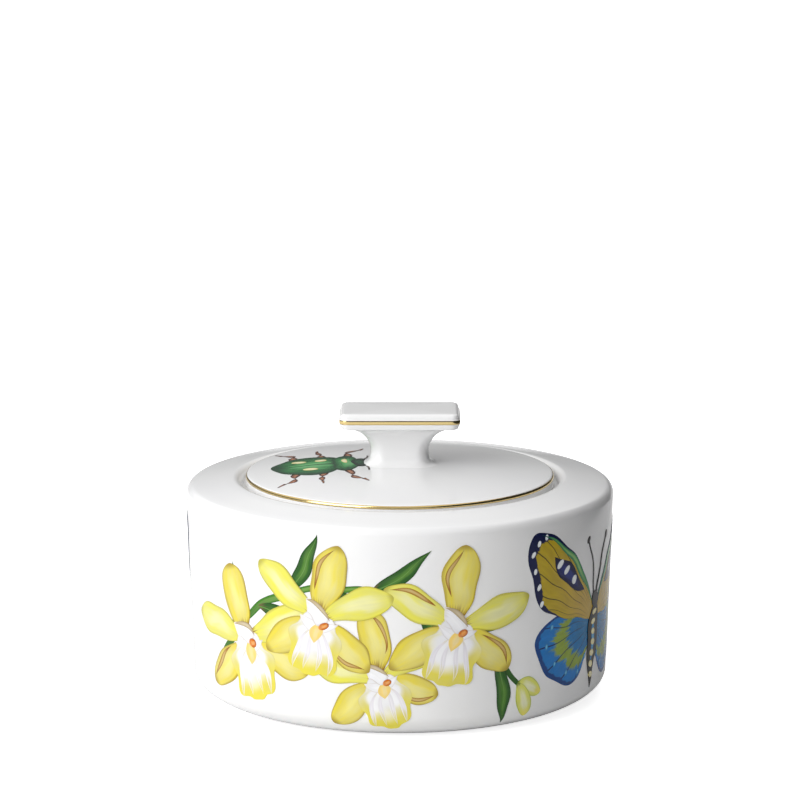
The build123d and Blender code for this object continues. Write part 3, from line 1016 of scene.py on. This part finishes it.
INSECT_PAINTS = {
    "ochre": wing_paint("Wing ochre", (204, 170, 76), (192, 166, 40), (14, 24, 70), (62, 58, 24), 0.10,
                        vein_count=10.0),
    "blue": wing_paint("Wing blue", (16, 118, 172), (26, 122, 198), (12, 66, 134), (6, 26, 70), 0.06,
                       (146, 168, 62)),
    "cream": watercolour("Wing cream", (246, 234, 176), (252, 246, 214), (206, 186, 104), edge_width=0.14),
    "white": watercolour("Wing white", (244, 248, 250), (252, 254, 254), (196, 208, 222), edge_width=0.1),
    "navy": watercolour("Wing navy", (16, 20, 74), (40, 56, 140), (6, 8, 34), edge_width=0.16),
    "green": watercolour("Wing green", (70, 142, 90), (150, 206, 120), (20, 84, 84), edge_width=0.16),
    "sky": watercolour("Wing sky", (40, 140, 200), (130, 206, 236), (14, 80, 150), edge_width=0.14),
    "black": watercolour("Insect black", (18, 16, 20), (52, 46, 48), (8, 6, 8), edge_width=0.2),
    "shell": watercolour("Beetle shell", (22, 110, 52), (112, 196, 120), (6, 40, 22), (10, 62, 34),
                         (12, 66, 40), base_reach=0.22, tip_reach=0.25, edge_width=0.22, streaks=0.5),
    "shell_dark": watercolour("Beetle seam", (6, 36, 20), (24, 90, 50), (4, 24, 14), edge_width=0.2),
    "leg": watercolour("Beetle leg", (92, 44, 26), (190, 130, 96), (40, 18, 12), edge_width=0.2),
    "feeler": watercolour("Feeler", (82, 70, 64), (140, 132, 124), (40, 32, 28)),
}


# %% [markdown]
# ## The butterfly
# One hangs head up on the right of the bowl and another on its far side. Both pairs of wings are
# drawn once for the left and mirrored for the right, with a row of spots inside each border.


# %% Butterfly
FORE_WING = [  # the left wings' margins, from the leading edge round to the body
    (0, 2), (-8, 13), (-17, 21), (-26, 25), (-30, 22), (-28.5, 14), (-25.5, 7), (-20, 3), (-9, 1)
]
HIND_WING = [
    (-17, 3), (-24, -0.5), (-25, -6), (-21.5, -11.5), (-15.5, -15), (-9, -15.5), (-4.5, -11.5), (-2, -5)
]
CELL_SPOTS = (12, 15.5, 18.5)  # how far out the white spots of the navy cell lie
DOTS = 6  # in the row along each margin


def wing(paint, dots, margin, outer, at, side, inset):
    """A wing on one side, with dots along the outer part of its margin, inset towards the root."""
    root = at(0, 0)
    rim = [at(side * x, y) for x, y in margin]
    row = root + (through(rim[outer], DOTS) - root) * inset
    return [fan(paint, root, rim, 16, 72)] + [spot(dots, point, 70, 1.7, 1.1) for point in row]


def butterfly(root, size, turn_deg):
    """Four wings, the cells of the forewings, and a banded body with two feelers."""
    at = drawn_at(root, size, turn_deg)
    strokes = []
    for side in (1, -1):
        strokes += wing("blue", "sky", HIND_WING, slice(1, 7), at, side, 0.84)
        strokes += wing("ochre", "white", FORE_WING, slice(3, 7), at, side, 0.94)
        strokes.append(leaf("green", [at(side * -2, 4.5), at(side * -11, 18), at(side * -26, 24.4)], 1.8))
        strokes.append(leaf("navy", [at(side * -7, 8), at(side * -14, 12), at(side * -21, 18)], 5.0, 0.6))
        strokes += [spot("white", at(side * -x, 0.74 * x + 2.6), 50, 2.6, 1.7) for x in CELL_SPOTS]
        strokes.append(line("black", [at(side * -0.8, 6), at(side * -2, 14), at(side * -6, 21)], 0.8, 0.5))
        strokes.append(spot("black", at(side * -6, 21), 60, 2.0, 1.2))
    strokes.append(leaf("black", [at(0, 5), at(0, -5), at(0, -18)], 6.4, 0.4))
    strokes.append(leaf("sky", [at(0, 0), at(0, -6), at(0, -12)], 2.0))
    strokes.append(spot("black", at(0, 5), 90, 4.4, 4.4))
    strokes += [spot("cream", at(0, y), 90, 1.6, 2.4) for y in np.linspace(1.5, -14.5, 7)]
    return strokes


for name, across, up in [("right", 62.8, 24.5), ("back_left", -111.4, 24.5)]:
    motif = butterfly((across, up), 1.0, -4)
    lay_motif(f"butterfly_{name}", motif, INSECT_PAINTS, on_wall, "bowl")


# %% [markdown]
# ## The beetle on the lid
# The beetle sits to the left of the knob. It is drawn from above, head to the right, as a collector
# pins one: three pairs of jointed legs, two wing cases that meet at a seam, a shield and a head. Seen
# from the side the lid is foreshortened, so the drawing is plump, or it would look like a splinter.


# %% Beetle
LEGS = [(-4.0, -5.0), (1.5, -0.5), (7.0, 5.0)]  # where each pair joins, and how far its feet reach ahead
GROOVES = (3.2, 6.4)  # from the seam to each groove at the widest place
LIGHTS = [(-4.5, 4.8, 4.0, 2.2), (1.5, 4.6, 3.2, 2.6), (-1.5, -4.8, 4.2, 2.2), (7.6, 2.6, 1.5, 4.6)]


def leg(at, side, hip, reach):
    """Thigh, shin and foot of one leg. It leaves the shell at hip and reaches ahead or back."""
    knee = at(hip + 0.3 * reach, side * 13.0)
    ankle = at(hip + 0.9 * reach, side * 17.0)
    return [
        leaf("leg", [at(hip, side * 5.0), at(hip + 0.4 * reach, side * 10.0), knee], 2.4, 0.5),
        leaf("leg", [knee, at(hip + 0.4 * reach, side * 15.5), ankle], 1.7, 0.4),
        line("leg", [ankle, at(hip + 1.2 * reach, side * 19.5)], 0.9, 0.4),
    ]


def beetle(centre, turn_deg):
    """Legs and feelers first, then the shell over them, its seam and grooves, and the highlights."""
    at = drawn_at(centre, 1.0, turn_deg)
    strokes = []
    for side in (-1, 1):
        for hip, reach in LEGS:
            strokes += leg(at, side, hip, reach)
        feeler = [at(11.5, side * 2.5), at(13.0, side * 4.5), at(13.5, side * 8.5)]
        strokes.append(line("feeler", feeler, 0.7, 0.4))
    cases = [at(-11.5, 0), at(-2, 0), at(7.5, 0)]
    strokes.append(stroke("shell", cases, lambda s: 10.4 * blade(s, 0.56, 0.55, 0.5), 30, 21))
    strokes.append(line("shell_dark", [at(-11.3, 0), at(6.5, 0)], 0.5, 0.8))
    for side in (-1, 1):
        for groove in GROOVES:
            off = side * groove
            bow = [at(-9.5 + groove / 2, off / 2), at(-2, off), at(5.5, off)]
            strokes.append(line("shell_dark", bow, 0.25, 0.25))
    strokes.append(spot("shell", at(7.6, 0), turn_deg + 90, 17.6, 6.8))
    strokes.append(spot("shell_dark", at(11.2, 0), turn_deg + 90, 9.6, 4.2))
    strokes += [spot("cream", at(x, y), turn_deg, long, wide) for x, y, long, wide in LIGHTS]
    return strokes


lay_motif("lid_beetle", beetle((-21.5, -0.5), 3), INSECT_PAINTS, on_lid, "lid")

# %% [markdown]
# ## The studio
# One large soft key stands high on the left, a little towards the viewer. The ceiling is bright and
# the walls of the room are dark, because white glaze shows its form, gold its lustre and printed
# colours their depth only when there is something dark to reflect. The white table looks white to
# the camera, and a black flag stands out of sight on the right, so the wall falls to grey there.

# %% Floor, lights and world
FLOOR_HALF = 4.0
FLAG_X, FLAG_Y, FLAG_H = 0.20, (-0.50, 0.30), 0.35


def matt(name, shade, rough):
    """A plain matt studio surface, with its tree and its Principled node."""
    material = bpy.data.materials.new(name)
    material.use_nodes = True
    shader = material.node_tree.nodes["Principled BSDF"]
    shader.inputs["Base Color"].default_value = (shade, shade, shade, 1.0)
    shader.inputs["Roughness"].default_value = rough
    shader.inputs["Specular IOR Level"].default_value = 0.0
    return material, material.node_tree, shader


def stage_card(name, corners, material):
    """A flat card from four corners in metres, which is part of the studio and not of the bowl."""
    card = bpy.data.meshes.new(name)
    card.from_pydata(corners, [], [(0, 1, 2, 3)])
    card.materials.append(material)
    card_object = bpy.data.objects.new(name, card)
    bpy.context.scene.collection.objects.link(card_object)
    return card_object


floor, floor_tree, floor_shader = matt("Studio floor", 0.90, 0.9)
floor_shader.inputs["Emission Color"].default_value = (1.0, 1.0, 1.0, 1.0)
seen = add(floor_tree, "ShaderNodeLightPath").outputs["Is Camera Ray"]
floor_tree.links.new(maths(floor_tree, "MULTIPLY", seen, 0.80), floor_shader.inputs["Emission Strength"])
square = [(-1, -1), (1, -1), (1, 1), (-1, 1)]
stage_card("Studio floor", [(x * FLOOR_HALF, y * FLOOR_HALF, 0) for x, y in square], floor)

near, far = FLAG_Y
flag_corners = [(FLAG_X, near, 0.0), (FLAG_X, far, 0.0), (FLAG_X, far, FLAG_H), (FLAG_X, near, FLAG_H)]
black_flag = stage_card("Black flag", flag_corners, matt("Black flag", 0.03, 1.0)[0])
black_flag.visible_camera = False

TARGET = np.array([0.0, 0.0, 0.03])


def soft_light(name, direction, distance, size, level):
    """A square area light that faces the bowl. At a distance d, a power of level * pi^2 * d^2 lights
    a white card that faces it as brightly as a room of strength level would.
    """
    toward = np.array(direction) / np.linalg.norm(direction)
    lamp = bpy.data.lights.new(name, "AREA")
    lamp.size = size
    lamp.energy = level * pi**2 * distance**2
    lamp_object = bpy.data.objects.new(name, lamp)
    lamp_object.location = TARGET + toward * distance
    lamp_object.rotation_euler = (np.arccos(toward[2]), 0.0, np.arctan2(toward[1], toward[0]) + pi / 2)
    bpy.context.scene.collection.objects.link(lamp_object)


soft_light("Key", (-0.70, -0.60, 0.50), 1.4, 1.1, 0.80)

world = bpy.data.worlds.new("Pale room")
world.use_nodes = True
room = world.node_tree
way = add(room, "ShaderNodeSeparateXYZ", {0: add(room, "ShaderNodeTexCoord").outputs["Generated"]})
overhead = smooth(room, way.outputs[2], 0.12, 0.80)
behind = smooth(room, way.outputs[1], -0.4, 0.6)
level = maths(room, "MULTIPLY", overhead, maths(room, "ADD", maths(room, "MULTIPLY", behind, 0.34), 0.68))
level = maths(room, "ADD", level, maths(room, "MULTIPLY", behind, 0.07))
room.links.new(maths(room, "ADD", level, 0.11), room.nodes["Background"].inputs["Strength"])
room.nodes["Background"].inputs["Color"].default_value = (1.0, 1.0, 1.0, 1.0)
bpy.context.scene.world = world
bpy.context.scene.view_settings.view_transform = "Standard"

# %% [markdown]
# ## The camera
# A long lens, from about a metre away, keeps the lid's rim and the foot nearly parallel. It looks down
# a little, just enough to open the lid to a narrow oval.

# %% Camera
TILT, AWAY, UP = 11.3, 1.0694, 0.2898  # degrees, and metres from the middle of the foot
ASIDE = 0.00005
lens = bpy.data.cameras.new("Product camera")
lens.lens, lens.sensor_width = 191.34, 36.0
camera = bpy.data.objects.new("Product camera", lens)
camera.location = (ASIDE, -AWAY, UP)
camera.rotation_euler = (radians(90 - TILT), 0.0, 0.0)
bpy.context.scene.collection.objects.link(camera)
bpy.context.scene.camera = camera
print(f"camera {AWAY:.2f} m away, looking down {TILT} degrees")
